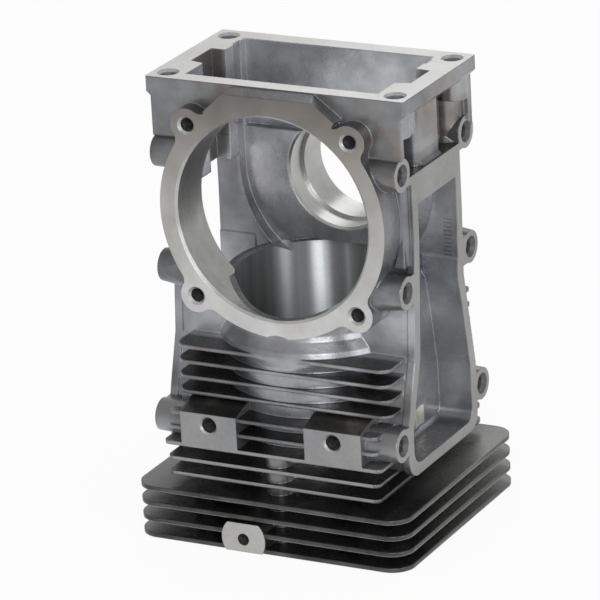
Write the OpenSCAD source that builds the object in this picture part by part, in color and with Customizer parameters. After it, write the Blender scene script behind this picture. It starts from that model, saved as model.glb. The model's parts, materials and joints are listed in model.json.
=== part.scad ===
// Crankcase and cylinder block of a small air-cooled single-cylinder engine.
// Millimetres. The head face lies on z = 0 and the cylinder axis is the z axis.
// The crankshaft axis runs along y, with the open main-bearing register at -y.

/* [Crankcase] */

// Width of the machined base flange across the crankcase
base_w = 135; // [132:1:138]

// Depth of the machined base flange along the crankshaft
base_d = 78; // [76:1:80]

// Height of the crankshaft axis above the head face
crank_z = 161; // [160:0.5:163]

// Height of the base flange face above the crankshaft axis
base_rise = 62; // [60:1:65]

// Width across the two side cover faces
case_w = 128; // [126:1:130]

// Thickness of the cast crankcase walls
case_wall = 5.5; // [5:0.5:6.5]

/* [Main bearing register] */

// Diameter of the machined register bore in the front face
register_d = 100; // [98:1:101]

// Outer diameter of the ring-shaped cover face
ring_d = 118; // [116:1:119]

// Distance of the ring face in front of the cylinder axis
ring_front = 44.7; // [43.7:0.5:46.2]

// Bolt circle of the four cover bolts
cover_pcd = 120; // [118:1:121]

// Diameter of the rear main bearing seat
bearing_d = 55; // [52:1:58]

// Depth of the rear main bearing seat
bearing_depth = 12.5; // [11:0.5:14]

/* [Cylinder] */

// Finished bore of the liner
bore_d = 80; // [78:1:81]

// Wall thickness of the liner
liner_wall = 3.6; // [3:0.2:4]

// Height of the liner rim above the head face
liner_top = 123.6; // [122:0.4:125.2]

// Outside diameter of the cast barrel round the liner
barrel_d = 97; // [96:1:99]

// Radial play between the cast-in liner and the barrel
liner_play = 0.02; // [0.01:0.01:0.05]

/* [Cooling fins] */

// Width of the large fins next to the head face
fin_w = 144; // [142:1:148]

// Depth of the large fins next to the head face
fin_d = 127; // [126:1:130]

// Number of large fins
fin_count = 4; // [4:1:4]

// Spacing of the large fins
fin_step = 8.05; // [7.9:0.05:8.15]

// Spacing of the small fins up the barrel
rib_step = 7.65; // [7.55:0.05:7.7]

// Thickness of the large fins
fin_t = 2.2; // [2:0.2:3]

// Thickness of the small fins
rib_t = 1.8; // [1.6:0.2:2.4]

/* [Bolt holes] */

// Spacing of the base bolts across the crankcase
base_bolt_x = 119; // [118:0.5:119.5]

// Spacing of the base bolts along the crankshaft
base_bolt_y = 61; // [60:0.5:61.5]

// Diameter of the base bolt holes
base_hole = 8.4; // [8:0.2:9]

// Tapping size of the cover and side cover holes
tap_hole = 6.8; // [6.6:0.2:7]

// Spacing of the four head studs
stud_pitch = 86; // [84:1:88]

/* [Part to show] */

// One piece of the block, or all of them

/* [Hidden] */

$fn = 96;
$fa = 6;
eps = 0.05;

aluminium = [0.62, 0.64, 0.66];
iron = [0.5, 0.5, 0.52];

// Base flange
block_h = crank_z + base_rise;
side_x = case_w / 2;
base_y = 2.5;
base_front = base_y - base_d / 2;
base_rear = base_y + base_d / 2;
base_t = 7;
base_skirt = 3;
pad_h = 29;
front_wall = base_front + 3.5;
rear_wall = base_rear - 4.5;

// Upper side walls, which step in behind the flange bolts
opening_x = base_w / 2 - 17;
wall_t = 2.6;
notch_x = side_x - 6;
notch_front = -8.5;
notch_rear = 12;
pocket_x = opening_x + 3.5;
plate_x = side_x + 1;
bolt_boss_r = 6.5;
bolt_boss_h = block_h - 19.5;
column_r = 6.5;
column_x = base_bolt_x / 2 - 4;
corner_rear = base_y - base_bolt_y / 2 + bolt_boss_r + 1.5;
ledge_fillet = 2.2;

// Register and rear bearing
register_r = register_d / 2;
ring_r = ring_d / 2;
cover_boss_r = 8.3;
cover_at = cover_pcd / 2 * sqrt(0.5);
register_back = -20;
rear_in = 21;
web_r = register_r + 1.5;
web_floor = 28;
bearing_r = bearing_d / 2;
rear_face = 58;

// Barrel
bore_r = bore_d / 2;
liner_r = bore_r + liner_wall;
seat_r = liner_r + liner_play;
barrel_r = barrel_d / 2;
barrel_top = liner_top - 0.4;
neck_r = liner_r + 1;
collar_r = barrel_r + 0.6;
collar_z = crank_z - ring_r - 8;

// Fins
fin_y = -2;
fin_front = fin_y - fin_d / 2;
fin_r = 11;
rib_zero = fin_t / 2 + (fin_count - 1) * fin_step + 6.6;
rib_front = barrel_r - 1;
waist_r = rib_front - 0.7;
rib_left = 54.5;
rib_right = side_x - 5.5;
rib_rear = 44.5;
rear_rib_rise = 3;
foot_front = 58;
foot_x = 33;
foot_rib = 2;
lug_x = -12.7;
lug_z = 6.4;
lug_hole = 6;

// Side chamber outline, as seen along the x axis
case_top = crank_z + 22;
case_bar = 15;
case_low = 36.5;
throat_front = 24.5;
throat_rear = 27.5;
foot_case_front = 39.5;
foot_case_rear = 35.5;
throat_z = 118;
foot_z = 72;
frame_w = 4;
frame_step = 0.8;
flank_x = waist_r - 0.6;

// Side cover bosses, each as position along y and height. The left ones sit further
// forward by left_shift, so that no two holes share an axis.
boss_r = 8;
boss_top = crank_z + 25.4;
boss_mid = crank_z - 32.3;
boss_low = 56.4;
boss_front = -33.6;
boss_rear = 35.2;
boss_foot = 45;
boss_heel = 41.5;
left_shift = 1;
boss_back = left_shift + 1.5;

// Points of a fillet of radius r at corner b between neighbours a and c
function unit2(v) = v / norm(v);
function fillet_centre(a, b, c, r) =
    let (u = unit2(a - b), v = unit2(c - b), m = unit2(u + v))
    b + m * r / sqrt((1 - u * v) / 2);
function fillet(a, b, c, r, n) =
    r <= 0 ? [b] :
    let (o = fillet_centre(a, b, c, r), u = unit2(a - b), v = unit2(c - b),
         p = b + u * ((o - b) * u), q = b + v * ((o - b) * v),
         t0 = atan2(p[1] - o[1], p[0] - o[0]), t1 = atan2(q[1] - o[1], q[0] - o[0]),
         d = t1 - t0 > 180 ? t1 - t0 - 360 : (t1 - t0 < -180 ? t1 - t0 + 360 : t1 - t0))
    [for (i = [0 : n]) o + r * [cos(t0 + d * i / n), sin(t0 + d * i / n)]];
function rounded(p, r, n = 6) =
    [for (i = [0 : len(p) - 1])
        each fillet(p[(i + len(p) - 1) % len(p)], p[i], p[(i + 1) % len(p)], r[i], n)];

// Closed outline of the side chamber, moved inwards by s with the top lowered by t
function case_outline(s, t) = [
    [-throat_front + s, case_top - t],
    [-throat_front + s, crank_z - 11],
    [-throat_front - 2.5 + s, throat_z],
    [-throat_front - 4.5 + s, foot_z + 21],
    [-foot_case_front + 4 + s, foot_z],
    [-foot_case_front + s, foot_z - 14],
    [-foot_case_front + s, case_low + s],
    [foot_case_rear - s, case_low + s],
    [foot_case_rear - s, foot_z - 2],
    [throat_rear - 1 - s, throat_z],
    [throat_rear - s, crank_z - 11],
    [throat_rear - s, case_top - t]
];

// A plate with rounded corners, centred on the z axis
module plate(w, d, t, r) {
    linear_extrude(t)
    union() {
        square([w - 2 * r, d], center = true);
        square([w, d - 2 * r], center = true);
        for (i = [-1, 1], j = [-1, 1])
            translate([i * (w / 2 - r), j * (d / 2 - r)])
            circle(r);
    }
}

// A plate with square edges between two corners
module slab(a, b) {
    translate(a)
    cube(b - a);
}

// A cylinder along y between two positions
module along_y(y0, y1, r0, r1) {
    translate([0, y0, 0])
    rotate([-90, 0, 0])
    cylinder(h = y1 - y0, r1 = r0, r2 = r1);
}

// A cylinder along x that starts at side_x and runs inwards
module side_pin(l, r0, r1) {
    translate([side_x, 0, 0])
    rotate([0, -90, 0])
    cylinder(h = l, r1 = r0, r2 = r1);
}

// A shape drawn in y and z, pushed along x between two positions
module along_x(x0, x1) {
    translate([x0, 0, 0])
    rotate([90, 0, 90])
    linear_extrude(x1 - x0)
    children();
}

module both_sides() {
    children();
    mirror([1, 0, 0])
    children();
}

// As both_sides, for what follows the bolts of the two side covers
module cover_sides() {
    children();
    translate([0, -left_shift, 0])
    mirror([1, 0, 0])
    children();
}

// Outline of the ring face with its four bolt bosses blended in
module ring_face(grow) {
    big = ring_r + grow;
    small = cover_boss_r + grow;
    blend = 5 - grow;
    gap = cover_at * sqrt(2);
    near = (gap * gap + (big + blend) * (big + blend) - (small + blend) * (small + blend)) / (2 * gap);
    off = sqrt((big + blend) * (big + blend) - near * near);
    circle(big);
    cap = block_h - 0.5 - crank_z;
    polygon([[-0.56 * ring_r, 50], [-20.5, cap], [21.5, cap], [0.6 * ring_r, 51], [0, 0]]);
    for (k = [0 : 3])
        rotate(45 + 90 * k) {
            translate([gap, 0])
            circle(small);
            for (s = [-1, 1])
                difference() {
                    polygon([[0, 0], [gap, 0], [near, s * off]]);
                    translate([near, s * off])
                    circle(blend);
                }
        }
}

// Machined flange that carries the base cover
module base_flange() {
    low = block_h - base_t;
    translate([0, base_y, low])
    plate(base_w, base_d, base_t, 0.8);
    skirt = [
        [-base_w / 2, -low - eps], [base_w / 2, -low - eps], [base_w / 2, -low],
        [base_w / 2 - base_skirt, base_skirt - low], [base_skirt - base_w / 2, base_skirt - low],
        [-base_w / 2, -low]
    ];
    translate([0, base_front, 0])
    rotate([-90, 0, 0])
    linear_extrude(base_d - 1)
    polygon(skirt);
}

// Upper part of the crankcase under the base flange
module upper_case() {
    top = block_h - base_t;
    slab([-plate_x, base_front, block_h - pad_h], [plate_x, front_wall, top]);
    slab([-plate_x, rear_wall, boss_top], [plate_x, base_rear - 1, top]);
    slab([-pocket_x, front_wall - eps, case_top - 4], [pocket_x, rear_wall + eps, top]);
    translate([0, (notch_front + notch_rear) / 2, case_top - 4])
    plate(2 * (notch_x + wall_t), notch_rear - notch_front + 2 * wall_t, top - case_top + 4, 3);
    both_sides() {
        slab([pocket_x - eps, base_front, bolt_boss_h], [plate_x, corner_rear, top]);
        slab([pocket_x - eps, rear_wall - 1, bolt_boss_h], [plate_x, rear_wall + eps, top]);
        translate([notch_x + wall_t, notch_rear - 0.5, case_top])
        rotate([90, 0, 0])
        linear_extrude(notch_rear - notch_front - 1)
        polygon([[-eps, -eps], [ledge_fillet, -eps], [-eps, ledge_fillet]]);
    }
}

// Bosses of the flange bolts, each with a narrower column under it that flares at the ledge
module bolt_bosses() {
    for (j = [-1, 1])
        translate([0, base_y + j * base_bolt_y / 2, 0]) {
            translate([base_bolt_x / 2, 0, bolt_boss_h])
            cylinder(h = block_h - base_t - bolt_boss_h + eps, r = bolt_boss_r);
            translate([column_x, 0, case_top - 4])
            cylinder(h = bolt_boss_h - case_top + 4 + eps, r = column_r);
            translate([side_x - column_r - 3, 0, case_top - 1])
            cylinder(h = 5, r1 = column_r + 2.5, r2 = column_r - 0.5);
            slab([pocket_x - 1, j < 0 ? front_wall - j * base_bolt_y / 2 - base_y - 1 : 0, case_top - 4],
                 [side_x - 1.5, j < 0 ? 0 : rear_wall - j * base_bolt_y / 2 - base_y + 1, bolt_boss_h + eps]);
        }
}

// Front housing with the ring face
module front_housing() {
    translate([0, 0, crank_z])
    along_y(-ring_front + 3, register_back - 2, ring_r - 1, ring_r + 0.8);
    translate([0, front_wall + 6, crank_z])
    rotate([90, 0, 0])
    linear_extrude(ring_front + front_wall + 6)
    ring_face(0);
}

// Slope between the ring face and the base flange
module ring_trim() {
    translate([0, base_front, block_h - 0.5])
    rotate([13, 0, 0])
    translate([-30, -20, 0])
    cube([60, 20, 10]);
}

// Rear housing with the main bearing boss
module rear_housing() {
    translate([0, 0, crank_z]) {
        along_y(rear_in - 12, rear_wall - 1, ring_r + 1, ring_r - 1);
        along_y(rear_wall - 4, rear_face, bearing_r + 11, bearing_r + 8.5);
        for (k = [0 : 5])
            rotate([0, 30 + 60 * k, 0])
            translate([0, rear_wall - 3, -2.5])
            cube([ring_r - 4, 9, 5]);
    }
}

// Body of the two side chambers in one piece across the block, with a raised frame at each end
module chamber_body() {
    radii = [2, 0, 6, 6, 6, 4, 9, 8, 5, 5, 0, 2];
    along_x(-side_x + 1, side_x - 1)
    polygon(rounded(case_outline(frame_step, 0), radii));
    both_sides()
    along_x(side_x - frame_w, side_x)
    polygon(rounded(case_outline(0, 0), radii));
}

// Cast barrel round the liner, with a smooth collar above its waist
module barrel_shell() {
    steps = 4;
    rise = [for (i = [0 : steps])
        [waist_r + (collar_r - waist_r) * (1 - cos(180 * i / steps)) / 2, collar_z - 8 + 8 * i / steps]];
    fall = [for (i = [1 : steps])
        [neck_r + (collar_r - neck_r) * (1 + cos(180 * i / steps)) / 2, collar_z + 10 * i / steps]];
    rotate_extrude()
    polygon(concat([[0, 0], [waist_r - 0.3, 0]], rise, fall, [[neck_r, barrel_top], [0, barrel_top]]));
}

module barrel() {
    barrel_shell();
    cylinder(h = fin_t + (fin_count - 1) * fin_step, r = barrel_r + 5);
    for (s = [-1, 1])
        translate([0, s * (barrel_r + 1), 0])
        cylinder(h = rib_zero + 2 * rib_step, r = 6.5);
}

// One small fin: width, front and rear depth
module rib(i, w, yf, yr, r) {
    translate([0, (yr - yf) / 2, rib_zero + i * rib_step - rib_t / 2])
    plate(w, yf + yr, rib_t, r);
}

module fins() {
    for (i = [0 : fin_count - 1])
        translate([0, fin_y, i * fin_step])
        plate(fin_w, fin_d, fin_t, fin_r);
    for (i = [0, 1])
        rib(i, 2 * side_x - 15, foot_front, foot_front - 2, 3.5);
    rib(2, 2 * side_x - 12, foot_front, foot_front - 2, 3);
    for (i = [3, 4])
        rib(i, 2 * side_x - 17, foot_front - 1.5, foot_front - 3, 3);
    for (i = [5 : 8])
        translate([(rib_right - rib_left) / 2, 0, 0])
        rib(i, rib_right + rib_left, rib_front, 0, 6);
    for (i = [6 : 9])
        translate([0, 0, rear_rib_rise])
        rib(i, 2 * rib_right, 0, rib_rear, 2.5);
}

// Two engine feet cast on the front of the barrel
module lugs() {
    low = rib_zero + foot_rib * rib_step;
    for (s = [-1, 1])
        translate([s * foot_x, 0, 0])
        along_x(-15, 15)
        polygon([[-foot_front, low], [-foot_front, low + 17], [-foot_front + 12, low + 20.5],
                 [-30, low + 21.5], [-30, low]]);
}

// Small lug at the head face, flat above and below
module deck_lug() {
    translate([lug_x, fin_front - 1.2, lug_z])
    rotate([-90, 0, 0])
    intersection() {
        cylinder(h = 30, r = 11.6);
        translate([-12, -8.2, 0])
        cube([24, 14.6, 30]);
    }
}

// Round bosses for the side cover bolts on one side, kept behind the ring face
module side_bosses() {
    for (z = [boss_top, boss_mid], y = [boss_front, boss_rear])
        intersection() {
            translate([0, y, z])
            side_pin(26, boss_r, boss_r + (z == boss_mid ? 3.5 : 0.6));
            slab([0, boss_back - ring_front, 0], [side_x + 1, rear_face, block_h]);
        }
    for (y = [-boss_foot, boss_heel])
        translate([0, y, boss_low])
        side_pin(24, boss_r, boss_r + 1);
    for (z = [boss_top, boss_mid], s = [-1, 1])
        slab([side_x - 6, s < 0 ? boss_front : throat_rear - 4, z - 7],
             [side_x, s < 0 ? -throat_front + 4 : boss_rear, min(z + 7, case_top)]);
    for (s = [-1, 1])
        slab([side_x - 6, s < 0 ? -boss_foot : foot_case_rear - 4, boss_low - 7],
             [side_x, s < 0 ? -foot_case_front + 4 : boss_heel, boss_low + 7]);
}

// Round rib on the outside of the front chamber wall, and the gusset below it
module front_webs() {
    top = boss_mid + 23.5;
    low = boss_mid + 10.5;
    translate([side_x - 5, -throat_front - 0.5, low])
    cylinder(h = boss_top - 6 - low, r = 3.2);
    intersection() {
        along_x(side_x - 10, side_x - 1)
        polygon([[-throat_front + 2, top], [-throat_front - 3.5, top],
                 [-throat_front - 6, low], [-throat_front + 2, low]]);
        rotate([90, 0, 0])
        linear_extrude(throat_front + 8)
        polygon([[side_x - 5, top], [side_x - 3.6, top], [side_x - 2.5, low], [side_x - 8, low]]);
    }
}

// What stays standing inside the side chambers: the barrel and the flat walls along it
module chamber_core() {
    floor_z = case_low + case_wall;
    shoulder = throat_z - 2;
    cylinder(h = shoulder, r = waist_r);
    translate([0, 0, shoulder - eps])
    cylinder(h = barrel_top - shoulder + eps, r1 = waist_r, r2 = neck_r);
    translate([0, foot_case_rear, 0])
    rotate([90, 0, 0])
    linear_extrude(foot_case_rear + foot_case_front)
    both_sides()
    polygon([
        [0, case_low], [flank_x + 2, case_low], [flank_x + 2, floor_z], [flank_x, floor_z + 2],
        [flank_x, shoulder], [flank_x - 2, shoulder + 4], [0, shoulder + 4]
    ]);
}

// Small step in the rear wall of each side chamber, at the height of the liner rim
module wall_step() {
    inner = throat_rear - case_wall;
    along_x(neck_r, side_x)
    polygon([[inner + 2, liner_top + 3.9], [inner - 1.3, liner_top + 3.9], [inner - 1.6, throat_z],
             [inner + 2, throat_z - 16], [inner + 4, throat_z - 16]]);
}

// Inner outline of the open base, seen from above
module base_opening() {
    polygon([
        [-opening_x, front_wall + 5], [opening_x, front_wall + 5],
        [opening_x, notch_front - 2], [notch_x, notch_front], [notch_x, notch_rear],
        [opening_x, notch_rear + 0.5], [opening_x, base_rear - 9.5], [-opening_x, base_rear - 9.5],
        [-opening_x, notch_rear + 0.5], [-notch_x, notch_rear], [-notch_x, notch_front],
        [-opening_x, notch_front - 2]
    ]);
}

// Space inside the crankcase and the side chambers
module crank_space() {
    radii = [1, 0, 3, 3, 3, 3, 7, 6, 4, 4, 0, 1];
    difference() {
        along_x(-side_x - 1, side_x + 1)
        polygon(rounded(case_outline(case_wall, case_bar), radii));
        chamber_core();
    }
    slab([-notch_x, register_back, crank_z - 30], [notch_x, rear_in, crank_z + 4]);
    slab([-notch_x, notch_front, crank_z], [notch_x, notch_rear, block_h - 20]);
    slab([-opening_x, register_back, crank_z], [opening_x, rear_in, block_h - 20]);
    translate([0, 0, crank_z + 19])
    linear_extrude(block_h - crank_z)
    base_opening();
    translate([0, 0, crank_z])
    along_y(rear_in - eps, web_floor, web_r, web_r);
    slab([-web_r, rear_in - eps, crank_z], [web_r, web_floor, block_h + 1]);
}

// Rear part of the front tube, standing into the crankcase
module tube_tail() {
    translate([0, 0, crank_z])
    along_y(front_wall, register_back, register_r + 4.5, register_r + 4.5);
}

module register_bore() {
    translate([0, 0, crank_z]) {
        along_y(-ring_front - 1, register_back + eps, register_r, register_r);
        along_y(-ring_front - 1, -ring_front + 1.2, register_r + 2.2, register_r);
    }
}

module rear_bore() {
    translate([0, 0, crank_z]) {
        along_y(web_floor - 2, web_floor + bearing_depth, bearing_r, bearing_r);
        along_y(web_floor - 1, web_floor + 1, bearing_r + 2, bearing_r);
        along_y(web_floor, rear_face + 1, bearing_r - 1.5, bearing_r - 1.5);
    }
}

// Bore for the liner, ending in a run-out above the rim
module liner_seat() {
    translate([0, 0, -1])
    cylinder(h = liner_top + 1, r = seat_r);
    translate([0, 0, liner_top - 1])
    cylinder(h = 3.4, r = bore_r);
}

module holes() {
    // Base bolts
    for (i = [-1, 1], j = [-1, 1])
        translate([i * base_bolt_x / 2, base_y + j * base_bolt_y / 2, block_h]) {
            translate([0, 0, bolt_boss_h - block_h + 1.5])
            cylinder(h = block_h - bolt_boss_h, d = base_hole);
            translate([0, 0, -1.8])
            cylinder(h = 2.8, r1 = base_hole / 2 - 0.6, r2 = base_hole / 2 + 2.2);
        }
    // Register cover bolts
    for (k = [0 : 3])
        translate([0, 0, crank_z])
        rotate([0, 45 + 90 * k, 0])
        translate([cover_at * sqrt(2), 0, 0]) {
            along_y(-ring_front - 1, -ring_front + 21, tap_hole / 2, tap_hole / 2);
            along_y(-ring_front - 1, -ring_front + 1.2, tap_hole / 2 + 2.2, tap_hole / 2);
        }
    // Side cover bolts
    cover_sides() {
        for (z = [boss_top, boss_mid], y = [boss_front, boss_rear])
            translate([0, y, z])
            side_hole();
        for (y = [-boss_foot, boss_heel])
            translate([0, y, boss_low])
            side_hole();
    }
    // Engine feet
    for (s = [-1, 1])
        translate([s * foot_x, 0, rib_zero + foot_rib * rib_step + 11.2]) {
            along_y(-foot_front - 1, -foot_front + 18, tap_hole / 2 + 0.4, tap_hole / 2 + 0.4);
            along_y(-foot_front - 1, -foot_front + 1, tap_hole / 2 + 2, tap_hole / 2 + 0.4);
        }
    // Lug at the head face
    translate([lug_x, 0, lug_z])
    along_y(fin_front - 2, fin_front + 18, lug_hole / 2, lug_hole / 2);
    // Head studs
    for (i = [-1, 1], j = [-1, 1])
        translate([i * stud_pitch / 2, j * stud_pitch / 2, -1]) {
            cylinder(h = 24, d = tap_hole + 1.7);
            cylinder(h = 2, r1 = tap_hole / 2 + 2.85, r2 = tap_hole / 2 + 0.85);
        }
}

module side_hole() {
    translate([side_x + 1, 0, 0])
    rotate([0, -90, 0]) {
        cylinder(h = 19, d = tap_hole);
        cylinder(h = 2.9, r1 = tap_hole / 2 + 2.9, r2 = tap_hole / 2);
    }
}

module stud_columns() {
    for (i = [-1, 1], j = [-1, 1])
        translate([i * stud_pitch / 2, j * stud_pitch / 2, 0])
        cylinder(h = (fin_count - 1) * fin_step + eps, r = 7.5);
}

module block() {
    color(aluminium)
    difference() {
        union() {
            difference() {
                union() {
                    upper_case();
                    base_flange();
                    both_sides()
                    bolt_bosses();
                    chamber_body();
                    front_housing();
                    rear_housing();
                    barrel();
                    fins();
                    lugs();
                    deck_lug();
                    stud_columns();
                    both_sides()
                    front_webs();
                    cover_sides()
                    side_bosses();
                }
                crank_space();
            }
            tube_tail();
            both_sides()
            wall_step();
        }
        ring_trim();
        register_bore();
        rear_bore();
        liner_seat();
        holes();
    }
}

module cylinder_liner() {
    color(iron)
    difference() {
        cylinder(h = liner_top, r = liner_r);
        translate([0, 0, -1])
        cylinder(h = liner_top + 2, r = bore_r);
        translate([0, 0, liner_top - 1.2])
        cylinder(h = 2.4, r1 = bore_r - 0.01, r2 = bore_r + 2.4);
        translate([0, 0, crank_z])
        along_y(-ring_front - 1, register_back + eps, register_r, register_r);
        translate([0, 0, crank_z])
        along_y(rear_in - eps, web_floor, web_r, web_r);
    }
}

block();
cylinder_liner();
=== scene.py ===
import json
from math import cos, hypot, pi, radians, sin

import bmesh
import bpy
from mathutils import Matrix, Vector


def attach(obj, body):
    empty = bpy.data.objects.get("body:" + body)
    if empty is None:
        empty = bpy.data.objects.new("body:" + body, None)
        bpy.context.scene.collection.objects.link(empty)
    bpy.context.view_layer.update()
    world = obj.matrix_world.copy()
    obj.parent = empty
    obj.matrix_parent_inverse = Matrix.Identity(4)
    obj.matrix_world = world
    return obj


# The block stands on its head face: x to the right, y away from the ring face, z up, all in metres.
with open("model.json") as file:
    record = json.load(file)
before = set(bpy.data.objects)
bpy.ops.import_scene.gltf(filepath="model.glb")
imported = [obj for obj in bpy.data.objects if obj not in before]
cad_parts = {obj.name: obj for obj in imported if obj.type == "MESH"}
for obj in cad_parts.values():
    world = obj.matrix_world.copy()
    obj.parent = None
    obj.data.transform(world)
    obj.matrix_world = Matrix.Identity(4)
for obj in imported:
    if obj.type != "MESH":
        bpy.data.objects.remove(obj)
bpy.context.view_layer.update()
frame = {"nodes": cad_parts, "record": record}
block = frame["nodes"]["block"]
liner = frame["nodes"]["cylinder_liner"]
mounts = {m["name"]: m for m in frame["record"]["mounts"]}
MM = 0.001


def mm(*sizes):
    """Sizes given in millimetres, as metres."""
    return tuple(size * MM for size in sizes)


def place_of(mount):
    return Vector(mounts[mount]["pos_m"])


def size_of(mount, dimension):
    return mounts[mount]["dims"][dimension] * MM


# Axes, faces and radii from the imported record
crank = place_of("crank_register")
register_r = size_of("crank_register", "r_mm")
register_back = crank.y + size_of("crank_register", "length_mm")
seat = place_of("rear_bearing")
seat_r = size_of("rear_bearing", "r_mm")
top_z = place_of("base_face").z
lug_y = place_of("head_lug_hole").y

# These faces lie in front of the stated bore and holes by the chamfer or the countersink
ring_y = crank.y - 1.2 * MM
side_x = place_of("right_cover_bolts").x + 2.0 * MM
foot_y = place_of("feet_bolts").y - 1.1 * MM

# Areas of the casting with a tone of their own: ranges along x, y and z, and the width of their soft edges.
# Painted light makes the chambers, the crank space, the room above it, the corner pocket and the barrel's
# front lighter, and paints highlights on the bright spot and the stud column
EDGE = 4 * MM
ROOM_X = (-side_x - EDGE, side_x + EDGE)
ROOM_Y = mm(-36, 36)
CHAMBERS = (ROOM_X, ROOM_Y, mm(40, 140), EDGE)
CRANK_SPACE = (ROOM_X, ROOM_Y, mm(100, 170), (EDGE, EDGE, 20 * MM))
TOP_ROOM = ((10 * MM - side_x, side_x - 10 * MM), ROOM_Y, (130 * MM, top_z + 49 * MM), (EDGE, EDGE, 48 * MM))
BARREL_FRONT = (mm(-20, 52), mm(-56, -30), mm(20, 112), 16 * MM)
CORNER_POCKET = ((side_x - 10 * MM, side_x + EDGE), mm(-36, 40), (top_z - 35 * MM, top_z - 5 * MM), 3 * MM)
BRIGHT_SPOT = (mm(44, 47.8), mm(2, 13.5), mm(44.5, 54.5), 0.8 * MM)
STROKES = (mm(56.2, 61.2), mm(15, 40), mm(127, 147), 0.8 * MM)
RIGHT_FOOT = (mm(10, 54), (foot_y - 12 * MM, foot_y + 18 * MM), mm(45, 80), 2 * MM)
STUD_COLUMN = (mm(-14, 8), mm(-53, -30), mm(12, 40.5), 2 * MM)

# Places where a tone starts and where it is full: the chambers' painted light, and the painted sheen at the
# fins' two ends
CHAMBER_FADE = mm(135, 105)
LEFT_END_X = mm(-48, -73)
RIGHT_END_X = mm(40, 66)
RIGHT_END_Y = mm(-45, 5)

STROKE_PITCH = 2 * MM
RING_WAVE = 9000  # radians for each metre from the crank axis, a ring every 0.7 mm
WHITE = (1.0, 1.0, 1.0)


# Materials

class Nodes:
    """A short way to write a node material. x, y and z are the place of the point that is shaded."""

    def __init__(self, name):
        self.material = bpy.data.materials.new(name)
        self.material.use_nodes = True
        self.tree = self.material.node_tree
        self.shader = self.tree.nodes["Principled BSDF"]
        self.place = self.add("ShaderNodeNewGeometry").outputs["Position"]
        self.x, self.y, self.z = self.split(self.place)

    def add(self, kind, **settings):
        node = self.tree.nodes.new(kind)
        for key, value in settings.items():
            setattr(node, key, value)
        return node

    def link(self, source, target):
        self.tree.links.new(source, target)

    def feed(self, value, socket):
        """Give a socket another node's output, a colour or a number."""
        if hasattr(value, "is_output"):
            self.link(value, socket)
        elif isinstance(value, tuple):
            socket.default_value = (*value, 1)
        else:
            socket.default_value = value

    def split(self, vector):
        node = self.add("ShaderNodeSeparateXYZ")
        self.link(vector, node.inputs[0])
        return node.outputs

    def noise(self, scale, detail=3.0, stretch=None):
        """Noise with about scale waves per metre, times stretch along each axis."""
        node = self.add("ShaderNodeTexNoise")
        node.inputs["Scale"].default_value = scale
        node.inputs["Detail"].default_value = detail
        node.inputs["Roughness"].default_value = 0.55
        vector = self.place
        if stretch:
            stretched = self.add("ShaderNodeVectorMath", operation="MULTIPLY")
            stretched.inputs[1].default_value = stretch
            self.link(vector, stretched.inputs[0])
            vector = stretched.outputs["Vector"]
        self.link(vector, node.inputs["Vector"])
        return node.outputs["Fac"]

    def ramp(self, source, stops):
        """Colours or greys at values of source."""
        node = self.add("ShaderNodeValToRGB")
        band = node.color_ramp
        while len(band.elements) < len(stops):
            band.elements.new(0.5)
        for element, (position, colour) in zip(band.elements, stops):
            element.position = position
            element.color = (*colour, 1) if isinstance(colour, tuple) else (colour, colour, colour, 1)
        self.link(source, node.inputs["Fac"])
        return node.outputs["Color"]

    def mix(self, factor, a, b, blend="MIX"):
        node = self.add("ShaderNodeMix", data_type="RGBA", blend_type=blend)
        for value, number in ((factor, 0), (a, 6), (b, 7)):
            self.feed(value, node.inputs[number])
        return node.outputs[2]

    def times(self, colour, other, factor=1.0):
        """A colour multiplied by another, wholly or by a factor."""
        return self.mix(factor, colour, other, "MULTIPLY")

    def math(self, operation, a, b=0.0, c=0.0):
        node = self.add("ShaderNodeMath", operation=operation)
        for value, socket in zip((a, b, c), node.inputs):
            self.feed(value, socket)
        return node.outputs[0]

    def fade(self, value, none, full):
        """0 where value is at none, 1 where it is at full."""
        node = self.add("ShaderNodeMapRange", interpolation_type="SMOOTHSTEP")
        self.link(value, node.inputs["Value"])
        node.inputs["From Min"].default_value = none
        node.inputs["From Max"].default_value = full
        return node.outputs["Result"]

    def box(self, x, y, z, soft):
        """1 inside the box with these ranges and 0 outside, over a soft width or one for each axis."""
        inside = 1.0
        widths = soft if isinstance(soft, tuple) else (soft,) * 3
        for place, (low, high), width in zip((self.x, self.y, self.z), (x, y, z), widths):
            middle, half = (low + high) / 2, (high - low) / 2
            away = self.math("ABSOLUTE", self.math("SUBTRACT", place, middle))
            inside = self.math("MULTIPLY", self.fade(away, half, half - width), inside)
        return inside

    def round_edges(self, radius, samples=6):
        """The face's normal, turned smoothly over edges rounded by radius metres."""
        node = self.add("ShaderNodeBevel", samples=samples)
        node.inputs["Radius"].default_value = radius
        return node.outputs["Normal"]

    def bump(self, height, distance, normal=None):
        """The normal of bumps that are distance metres high, on the face or on another normal."""
        node = self.add("ShaderNodeBump")
        node.inputs["Distance"].default_value = distance
        self.link(height, node.inputs["Height"])
        if normal:
            self.link(normal, node.inputs["Normal"])
        return node.outputs["Normal"]

    def finish(self, colour, roughness, metallic, normal):
        inputs = self.shader.inputs
        self.feed(colour, inputs["Base Color"])
        self.feed(roughness, inputs["Roughness"])
        self.feed(metallic, inputs["Metallic"])
        self.feed(normal, inputs["Normal"])
        return self.material


def scaled(colour, factor):
    return tuple(part * factor for part in colour)


def rooms(n):
    """Where the side chambers, the crank space and the room above it are."""
    chambers = n.math("MULTIPLY", n.box(*CHAMBERS), n.fade(n.z, *CHAMBER_FADE))
    return chambers, n.box(*CRANK_SPACE), n.box(*TOP_ROOM)


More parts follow.
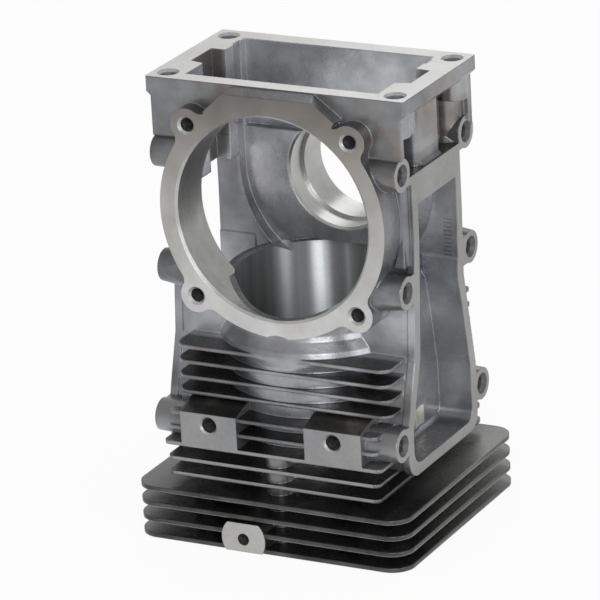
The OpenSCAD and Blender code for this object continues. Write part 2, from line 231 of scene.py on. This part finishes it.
def skin_and_painted_light(n, up, chambers, crank_space, top_room):
    """Mottled blue-grey skin with faint rust, with painted light that makes it lighter in the rooms, the
    pocket and on the barrel's front, painted shade on faces that look up and painted light on faces that look
    down.
    """
    barrel_front = n.box(*BARREL_FRONT)
    stain = n.ramp(n.noise(38, 6), [(0.3, (0.11, 0.114, 0.122)), (0.5, (0.18, 0.184, 0.192)),
                                    (0.72, (0.26, 0.263, 0.27))])
    rust = n.ramp(n.noise(42, 4), [(0.5, WHITE), (0.64, (0.92, 0.83, 0.77))])
    clean = n.math("MAXIMUM", n.math("MAXIMUM", chambers, crank_space), top_room)
    clean = n.math("MULTIPLY", n.math("MAXIMUM", clean, barrel_front), 0.85)
    skin = n.times(stain, n.mix(clean, rust, WHITE))
    # Painted light: the corner pocket is lighter as if lit
    skin = n.times(skin, (1.4, 1.4, 1.38), n.box(*CORNER_POCKET))
    # Painted shade on faces that look up and painted light on faces that look down, outside the chambers
    level = n.ramp(up, [(0.3, 1.25), (0.5, 1.0), (0.75, 0.8), (0.95, 0.5)])
    skin = n.times(skin, n.mix(chambers, level, (0.95, 0.95, 0.95)))
    # Painted light: lighter in the chambers, the crank space, the room above it and on the barrel's front
    skin = n.times(skin, (1.9, 1.9, 1.92), chambers)
    skin = n.times(skin, (1.17, 1.17, 1.19), crank_space)
    skin = n.times(skin, (2.3, 2.3, 2.33), top_room)
    return n.times(skin, (2.7, 2.7, 2.74), barrel_front)


def chamber_marks_and_highlight(n, skin):
    """A near-white milled spot low in the right chamber, painted as if brightly lit, and a row of short
    strokes on its rear wall.
    """
    # Painted highlight on the milled spot
    skin = n.mix(n.box(*BRIGHT_SPOT), skin, (1.0, 0.98, 0.9))
    wave = n.math("SINE", n.math("MULTIPLY", n.z, 2 * pi / STROKE_PITCH))
    strokes = n.math("MULTIPLY", n.box(*STROKES), n.fade(wave, 0.3, 0.9))
    return n.times(skin, (0.5, 0.5, 0.5), strokes)


def soot_and_sheen(n):
    """The black stain on fins and feet, with a painted sheen that makes it paler towards both ends of the
    fins, and paler on the right foot.
    """
    black = n.ramp(n.noise(35, 4), [(0.3, (0.013, 0.0135, 0.014)), (0.58, (0.03, 0.029, 0.028)),
                                    (0.74, (0.085, 0.082, 0.08))])
    # Painted sheen towards the left end of the fins and the right front end
    left_end = n.fade(n.x, *LEFT_END_X)
    black = n.mix(n.math("MULTIPLY", left_end, 0.65), black, (0.16, 0.165, 0.172))
    right_end = n.math("MULTIPLY", n.fade(n.x, *RIGHT_END_X), n.fade(n.y, *RIGHT_END_Y))
    black = n.mix(n.math("MULTIPLY", right_end, 0.85), black, (0.19, 0.187, 0.18))
    return n.times(black, (2.0, 1.9, 1.8), n.box(*RIGHT_FOOT))


def low_boss(n, side):
    """Where the lowest front bolt boss of that side face is."""
    middle = side * (side_x - 6 * MM)
    half_w = 12 * MM
    return n.box((middle - half_w, middle + half_w), mm(-62, -34), mm(43, 69), mm(5, 4, 3))


def fin_edges(n, up):
    """The dull skin on the edges of the fins, with a painted highlight where the rounded edge faces down."""
    edge = n.ramp(n.noise(60, 4), [(0.35, (0.035, 0.034, 0.033)), (0.7, (0.1, 0.099, 0.097))])
    return n.mix(n.ramp(up, [(0.1, 1.0), (0.36, 0.0)]), edge, (0.5, 0.5, 0.5))


def cast_aluminium():
    """As-cast skin with soft worn edges, painted light and shade, low down dull on the fins' edges and black
    on what faces up.
    """
    n = Nodes("cast_aluminium")
    worn = n.round_edges(1.1 * MM, samples=8)
    # 0 where the skin faces down, 0.5 on upright walls and 1 where it faces up
    up = n.math("MULTIPLY_ADD", n.split(worn)[2], 0.5, 0.5)
    chambers, crank_space, top_room = rooms(n)
    skin = chamber_marks_and_highlight(n, skin_and_painted_light(n, up, chambers, crank_space, top_room))
    black = soot_and_sheen(n)
    for side in (-1, 1):
        boss = low_boss(n, side)
        black = n.mix(boss, black, (0.17, 0.17, 0.172))
        skin = n.times(skin, (1.5, 1.5, 1.5), boss)
    low_down = n.ramp(n.z, [(88 * MM, 1.0), (100 * MM, 0.0)])
    large_fins = n.ramp(n.z, [(26 * MM, 1.0), (31 * MM, 0.15)])
    faces_up = n.ramp(up, [(0.62, 0.0), (0.9, 1.0)])
    colour = n.mix(n.math("MULTIPLY", low_down, large_fins), skin, fin_edges(n, up))
    # Painted highlight: the stud column between the low fins is pale as a bright silvery highlight
    colour = n.mix(n.box(*STUD_COLUMN), colour, (0.6, 0.61, 0.64))
    colour = n.mix(n.math("MULTIPLY", faces_up, low_down), colour, black)
    colour = n.mix(n.math("MULTIPLY", chambers, faces_up), colour, skin)
    rough = n.math("ADD", n.math("MULTIPLY", n.noise(120, 4), 0.3), 0.14)
    grain = n.math("ADD", n.noise(1300, 2), n.math("MULTIPLY", n.noise(220, 3), 2.4))
    return n.finish(colour, rough, 0.65, n.bump(grain, 0.05 * MM, worn))


def machined(name, tone, warm, soft=0.35 * MM):
    """A milled face: faint marks of the cutter and a faint stain."""
    n = Nodes(name)
    marks = n.noise(700, 3)
    clean = n.ramp(n.noise(34, 5), [(0.35, 0.0), (0.66, 1.0)])
    colour = n.mix(clean, scaled(warm, tone), scaled((1.0, 0.995, 0.985), tone))
    colour = n.times(colour, n.ramp(marks, [(0.3, 0.5), (0.7, 1.0)]), 0.2)
    rough = n.math("ADD", n.math("MULTIPLY", n.noise(150, 3), 0.16), 0.28)
    return n.finish(colour, rough, 0.85, n.bump(marks, 0.012 * MM, n.round_edges(soft)))


def ring_metal():
    """The turned ring face: fine rings round the crank axis, warmer towards the top, with a painted
    reflection that is bright low down and darker towards the top.
    """
    n = Nodes("ring_face")
    up = n.math("SUBTRACT", n.z, crank.z)
    r = n.math("SQRT", n.math("ADD", n.math("MULTIPLY", n.x, n.x), n.math("MULTIPLY", up, up)))
    rings = n.math("MULTIPLY_ADD", n.math("SINE", n.math("MULTIPLY", r, RING_WAVE)), 0.5, 0.5)
    # Painted reflection: bright low down and darker towards the top, with a warmer tint up there
    warm_tint_and_painted_reflection = n.ramp(n.z, [
        (100 * MM, (0.66, 0.665, 0.67)),
        (135 * MM, (0.54, 0.545, 0.535)),
        (170 * MM, (0.43, 0.425, 0.41)),
        (200 * MM, (0.28, 0.265, 0.247)),
        (222 * MM, (0.17, 0.163, 0.157)),
    ])
    stain = n.ramp(n.noise(44, 5), [(0.35, (0.8, 0.775, 0.75)), (0.6, WHITE)])
    colour = n.times(n.times(warm_tint_and_painted_reflection, stain), n.ramp(rings, [(0.0, 0.5), (1.0, 1.0)]), 0.14)
    rough = n.math("ADD", n.math("MULTIPLY", n.noise(160, 3), 0.16), 0.28)
    return n.finish(colour, rough, 0.85, n.bump(rings, 0.006 * MM, n.round_edges(0.35 * MM)))


def turned(name, tone):
    """A bored wall: rings round an axis along y."""
    n = Nodes(name)
    rings = n.noise(40, 2, stretch=(1.0, 60.0, 1.0))
    light = scaled((1.0, 1.0, 0.97), tone)
    colour = n.mix(n.ramp(n.noise(55, 3), [(0.3, 0.0), (0.7, 1.0)]), scaled(light, 0.72), light)
    rough = n.math("ADD", n.math("MULTIPLY", rings, 0.18), 0.2)
    return n.finish(colour, rough, 0.9, n.bump(rings, 0.01 * MM, n.round_edges(0.25 * MM)))


def honed():
    """The liner's wall: fine rings of honing that pull every highlight into an upright streak, with painted
    highlights and painted upright bands of reflection round the bore.
    """
    n = Nodes("honed_iron")
    tangent = n.add("ShaderNodeTangent", direction_type="RADIAL", axis="Z")
    n.link(tangent.outputs[0], n.shader.inputs["Tangent"])
    n.shader.inputs["Anisotropic"].default_value = 1.0
    n.shader.inputs["Anisotropic Rotation"].default_value = 0.25
    # Round the bore, 0.25 is the left side, 0.5 the rear and 0.75 the right side
    around = n.math("MULTIPLY_ADD", n.math("ARCTAN2", n.x, n.y), 0.5 / pi, 0.5)
    # Painted highlights: worn is the wall's brightness round the bore, dull at the sides with bright upright
    # streaks
    worn = n.ramp(around, [
        (0.26, 0.33), (0.33, 0.38), (0.36, 0.85), (0.38, 0.55),
        (0.412, 0.7), (0.42, 1.0), (0.428, 1.0), (0.436, 0.6),
        (0.472, 0.52), (0.482, 1.0), (0.49, 0.52),
        (0.6, 0.6), (0.9, 0.4),
    ])
    # Painted reflection: faint upright bands down the wall
    streak = n.ramp(n.noise(110, 2, stretch=(1.0, 1.0, 0.02)), [(0.35, 0.55), (0.65, 1.0)])
    cross = n.noise(1400, 2, stretch=(1.0, 1.0, 0.5))
    colour = n.times(n.times(worn, streak), (0.95, 0.99, 1.0))
    colour = n.times(colour, n.ramp(cross, [(0.3, 0.6), (0.7, 1.0)]), 0.25)
    rough = n.math("ADD", n.math("MULTIPLY", cross, 0.08), 0.34)
    return n.finish(colour, rough, 0.7, n.bump(cross, 0.002 * MM))


def hole_wall(name, dark, light, rough=0.38):
    """The inside of a drilled hole."""
    n = Nodes(name)
    colour = n.ramp(n.noise(500, 3), [(0.3, dark), (0.7, light)])
    return n.finish(colour, rough, 0.6, n.bump(n.noise(1200, 2), 0.02 * MM))


CAST = cast_aluminium()
MILLED = machined("milled_face", 0.55, (0.86, 0.85, 0.83))
SIDE = machined("side_face", 0.33, (0.8, 0.79, 0.77))
RING = ring_metal()
FOOT = machined("milled_foot", 0.33, (0.8, 0.81, 0.84), soft=0.8 * MM)
LUG = machined("milled_lug", 0.5, (0.9, 0.89, 0.86), soft=0.6 * MM)
BORE_Y = turned("turned_bore", 0.5)
HONED = honed()
# Hole walls in tones of light and shade: painted shade makes the tapped and side hole walls dark, and the
# drilled walls of the vertical holes are painted pale as lit
HOLE = hole_wall("tapped_wall", (0.05, 0.05, 0.052), (0.18, 0.18, 0.185))
DISH = hole_wall("drilled_wall", (0.28, 0.28, 0.29), (0.45, 0.45, 0.46))
DULL = hole_wall("side_hole_wall", (0.07, 0.071, 0.076), (0.15, 0.152, 0.16), rough=0.7)
RIM = hole_wall("liner_rim", (0.1, 0.1, 0.105), (0.2, 0.2, 0.205))

SLOTS = [CAST, MILLED, SIDE, RING, FOOT, LUG, BORE_Y, HOLE, DISH, DULL]


# Faces of the casting

NEAR = 0.05 * MM
SQUARE = 0.99  # a normal this far along an axis counts as square to it

# Drilled holes along x, y and z: how deep they reach at most, and the finish of their walls and countersinks
HOLE_REACH = mm(18, 30, 45)
WALLS = (DULL, HOLE, DISH)
SINKS = (DULL, DISH, DISH)
SINK_WIDTH = 2.6 * MM
SINK_DEPTH = 2.2 * MM

# The register's wall with its chamfer, the stepped bore of the rear bearing and its housing's rear face
REGISTER_WALL = 2.4 * MM
REGISTER_TO = register_back + 1 * MM
STEPPED_BORE_R = seat_r + 2.5 * MM
STEPPED_BORE_FROM = seat.y - 9 * MM
REAR_FACE_R = seat_r + 16 * MM
REAR_FACE_FROM = seat.y + 11 * MM


def pattern(dims, axis):
    """Where the holes of a bolt pattern lie round its centre."""
    if "pcd_mm" in dims:
        radius = dims["pcd_mm"] * MM / 2
        angles = [radians(45 + 360 * k / dims["count"]) for k in range(dims["count"])]
        return [Vector((cos(a), 0, sin(a))) * radius for a in angles]
    first, second = (i for i in range(3) if i != axis)
    half_x = dims.get("spacing_x_mm", 0) * MM / 2
    half_y = dims.get("spacing_y_mm", 0) * MM / 2
    places = []
    for dx in sorted({-half_x, half_x}):
        for dy in sorted({-half_y, half_y}):
            place = Vector((0, 0, 0))
            place[first] = dx
            place[second] = dy
            places.append(place)
    return places


def drilled_holes():
    """Every drilled hole of the record: its mouth's centre, its axis as 0, 1 or 2, its radius and way out."""
    holes = []
    for m in mounts.values():
        centre, way_out, dims = Vector(m["pos_m"]), m["axis"], m["dims"]
        axis = max(range(3), key=lambda i: abs(way_out[i]))
        if m["kind"] == "threaded_hole":
            holes.append((centre, axis, dims["r_mm"] * MM, way_out))
        if m["kind"] == "bolt_pattern":
            radius = dims["hole_r_mm"] * MM
            holes += [(centre + place, axis, radius, way_out) for place in pattern(dims, axis)]
    return holes


HOLES = drilled_holes()


def hole_finish(p, n):
    """The material at p with normal n in a drilled hole or its countersink, or None outside them."""
    for centre, axis, radius, _ in HOLES:
        away = p - centre
        depth = abs(away[axis])
        away[axis] = 0
        lean = abs(n[axis])
        inward = -n.dot(away) / max(away.length, NEAR)
        # A face square to the axis is the hole's floor or lies round its mouth
        if lean >= 0.95:
            continue
        if away.length < radius + 2 * NEAR and depth < HOLE_REACH[axis] and inward > 0.3:
            return WALLS[axis]
        if away.length < radius + SINK_WIDTH and depth < SINK_DEPTH and lean > 0.2:
            return SINKS[axis]
    return None


def finish_of(p, n):
    """The material of the casting's face at p with normal n."""
    if (n.z > SQUARE and p.z > top_z - NEAR) or (n.z < -SQUARE and p.z < NEAR):
        return MILLED
    if abs(n.x) > SQUARE and abs(abs(p.x) - side_x) < NEAR:
        return SIDE
    for front, finish in ((ring_y, RING), (foot_y, FOOT), (lug_y, LUG)):
        if n.y < -SQUARE and abs(p.y - front) < NEAR:
            return finish
    hole = hole_finish(p, n)
    if hole:
        return hole
    r = hypot(p.x - crank.x, p.z - crank.z)
    if abs(n.y) < 0.9 and abs(r - register_r) < REGISTER_WALL and p.y < REGISTER_TO:
        return BORE_Y
    if n.y > SQUARE and r < REAR_FACE_R and p.y > REAR_FACE_FROM:
        return SIDE
    if r < STEPPED_BORE_R and p.y > STEPPED_BORE_FROM:
        return BORE_Y
    return CAST


def liner_finish(p, n):
    """The material of the liner's face at p with normal n."""
    return RIM if abs(n.z) > 0.3 else HONED


def paint(obj, materials, choose):
    """Give each face the material that choose picks for its centre and normal."""
    mesh = obj.data
    mesh.materials.clear()
    for material in materials:
        mesh.materials.append(material)
    number = {material.name: i for i, material in enumerate(materials)}
    for face in mesh.polygons:
        face.material_index = number[choose(face.center, face.normal).name]


paint(block, SLOTS, finish_of)
paint(liner, [HONED, RIM], liner_finish)


# Threads in the tapped holes

WIDEST_TAPPED_R = 3.9 * MM
THREAD_LENGTH = 12 * MM
PITCH = 1.25 * MM
RIDGE_HEIGHT = 0.45 * MM
RIDGE_HALF = 0.42 * PITCH
IN_WALL = 0.05 * MM
STEPS_PER_TURN = 24


def add_object(name, data):
    obj = bpy.data.objects.new(name, data)
    bpy.context.scene.collection.objects.link(obj)
    return obj


def thread(name, mouth, way_out, radius):
    """A ridge that winds down the wall of a tapped hole and runs out at both ends."""
    to_hole = Vector(way_out).to_track_quat("Z", "X").to_matrix()
    steps = int(THREAD_LENGTH / PITCH * STEPS_PER_TURN)
    foot = radius + IN_WALL
    mesh = bmesh.new()
    rows = []
    for k in range(steps + 1):
        turns, turns_left = k / STEPS_PER_TURN, (steps - k) / STEPS_PER_TURN
        angle = 2 * pi * turns
        middle = -PITCH * (turns + 1)
        crest = radius - RIDGE_HEIGHT * min(1.0, turns, turns_left)
        section = ((foot, middle + RIDGE_HALF), (crest, middle), (foot, middle - RIDGE_HALF))
        points = [Vector((r * cos(angle), r * sin(angle), z)) for r, z in section]
        rows.append([mesh.verts.new(mouth + to_hole @ point) for point in points])
    for a, b in zip(rows, rows[1:]):
        for i in range(2):
            mesh.faces.new((a[i], a[i + 1], b[i + 1], b[i]))
    bmesh.ops.recalc_face_normals(mesh, faces=mesh.faces)
    data = bpy.data.meshes.new(name)
    mesh.to_mesh(data)
    mesh.free()
    for face in data.polygons:
        face.use_smooth = True
    data.materials.append(HOLE)
    obj = add_object(name, data)
    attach(obj, "root")


for number, (centre, _, radius, way_out) in enumerate(HOLES):
    if radius < WIDEST_TAPPED_R:
        thread(f"thread_{number:02d}", centre, way_out, radius)


# Floor, world, lamps and camera

FLOOR_HALF = 6.0
FLOOR_Z = -0.2 * MM
FLOOR_GLOW = 0.92
WORLD_LIGHT = 0.8
AIM = Vector((0, 0, 0.11))


def seen_directly(tree):
    """1 for rays of the camera, also by way of metal or glass, and 0 for light that falls on things."""
    path = tree.nodes.new("ShaderNodeLightPath")
    seen = path.outputs["Is Camera Ray"]
    for ray in ("Is Glossy Ray", "Is Transmission Ray"):
        either = tree.nodes.new("ShaderNodeMath")
        either.operation = "MAXIMUM"
        tree.links.new(seen, either.inputs[0])
        tree.links.new(path.outputs[ray], either.inputs[1])
        seen = either.outputs[0]
    return seen


def floor_material():
    """A pale floor that reads as white to the camera and keeps a faint shadow."""
    n = Nodes("floor")
    n.shader.inputs["Base Color"].default_value = (0.85, 0.85, 0.85, 1)
    n.shader.inputs["Roughness"].default_value = 0.9
    n.shader.inputs["Specular IOR Level"].default_value = 0.1
    glow = n.add("ShaderNodeEmission")
    glow.inputs["Color"].default_value = (1, 1, 1, 1)
    mixer = n.add("ShaderNodeMixShader")
    n.link(n.math("MULTIPLY", seen_directly(n.tree), FLOOR_GLOW), mixer.inputs[0])
    n.link(n.shader.outputs[0], mixer.inputs[1])
    n.link(glow.outputs[0], mixer.inputs[2])
    n.link(mixer.outputs[0], n.tree.nodes["Material Output"].inputs["Surface"])
    return n.material


def floor_mesh():
    corners = ((-1, -1), (1, -1), (1, 1), (-1, 1))
    mesh = bpy.data.meshes.new("floor")
    mesh.from_pydata([(x * FLOOR_HALF, y * FLOOR_HALF, FLOOR_Z) for x, y in corners], [], [(0, 1, 2, 3)])
    mesh.materials.append(floor_material())
    return mesh


def studio_world():
    """White to the camera, and a softer white that lights the block."""
    world = bpy.data.worlds.new("studio")
    world.use_nodes = True
    tree = world.node_tree
    tree.nodes.clear()
    soft = tree.nodes.new("ShaderNodeBackground")
    soft.inputs["Strength"].default_value = WORLD_LIGHT
    white = tree.nodes.new("ShaderNodeBackground")
    white.inputs["Strength"].default_value = 1.0
    mixer = tree.nodes.new("ShaderNodeMixShader")
    output = tree.nodes.new("ShaderNodeOutputWorld")
    tree.links.new(seen_directly(tree), mixer.inputs[0])
    tree.links.new(soft.outputs[0], mixer.inputs[1])
    tree.links.new(white.outputs[0], mixer.inputs[2])
    tree.links.new(mixer.outputs[0], output.inputs["Surface"])
    return world


def lamp(name, place, size, power):
    """A soft lamp of that width and height in metres and power in watts, aimed at the middle of the block."""
    data = bpy.data.lights.new(name, "AREA")
    data.shape = "RECTANGLE"
    data.size, data.size_y = size
    data.energy = power
    obj = add_object(name, data)
    obj.location = place
    obj.rotation_euler = (AIM - Vector(place)).to_track_quat("-Z", "Y").to_euler()


floor = add_object("floor", floor_mesh())
bpy.context.scene.world = studio_world()
lamp("key_light", (0.85, -1.75, 0.85), (0.8, 0.9), 16)
lamp("side_light", (1.7, -0.6, 0.6), (0.8, 1.2), 8)
lamp("back_light", (-0.3, 1.3, 1.2), (1.0, 0.8), 4)

# The camera of the photograph: its place, and its right, up and back directions
CAMERA_PLACE = Vector((0.99531, -1.87632, 0.88035))
RIGHT = Vector((0.8888, 0.4553, -0.0515))
UP = Vector((-0.1133, 0.3271, 0.9382))
BACK = Vector((0.444, -0.828, 0.3423))
camera = bpy.data.cameras.new("camera")
camera.sensor_width = 36
camera.lens = 283.535
camera.clip_end = 30
eye = add_object("camera", camera)
eye.matrix_world = Matrix.Translation(CAMERA_PLACE) @ Matrix((RIGHT, UP, BACK)).transposed().to_4x4()
bpy.context.scene.camera = eye
bpy.context.scene.view_settings.view_transform = "Standard"
